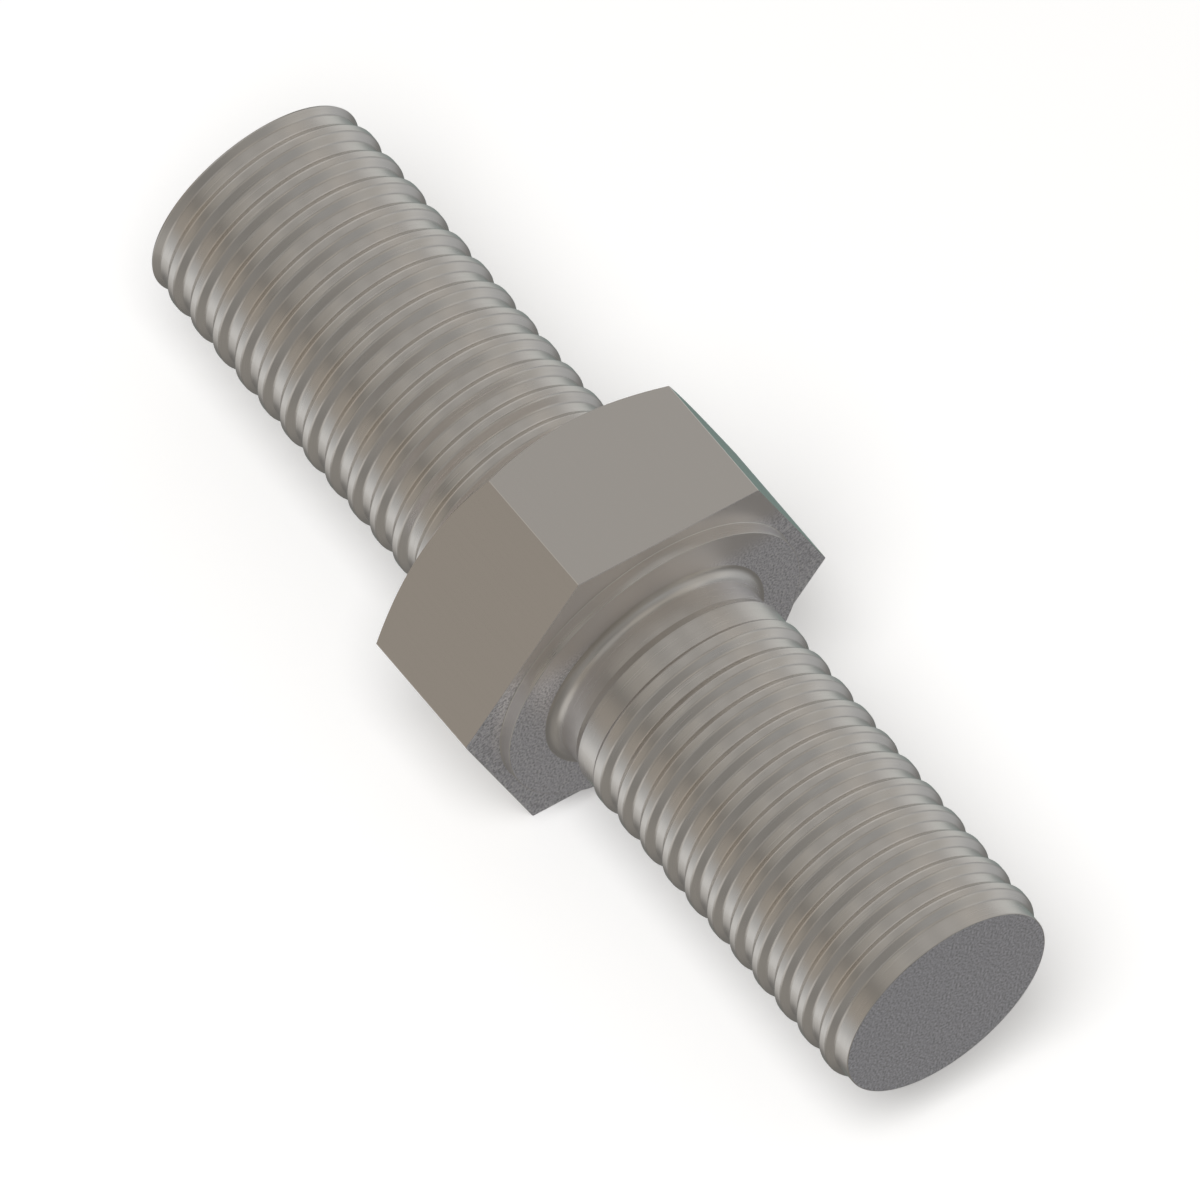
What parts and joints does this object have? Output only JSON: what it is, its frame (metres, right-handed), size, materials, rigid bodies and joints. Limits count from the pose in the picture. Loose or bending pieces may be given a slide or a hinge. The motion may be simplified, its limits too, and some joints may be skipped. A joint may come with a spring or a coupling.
{
  "type": "double-ended stud with hex collar",
  "caption": "Threaded stud with a hexagonal wrenching collar between its threaded ends and a round washer face on one side of the collar.",
  "frame": {"origin": "on the stud's axis at mid-length", "axes": "+X along the axis towards the near end, which is on the washer face's side of the collar; opposite flats of the hexagon face +Z and -Z, and the stud rests on the -Z flat"},
  "size_m": [0.054, 0.0208, 0.018],
  "materials": {
    "steel": "satin"
  },
  "bodies": {
    "root": {"hex_stud": "steel"}
  },
  "joints": []
}
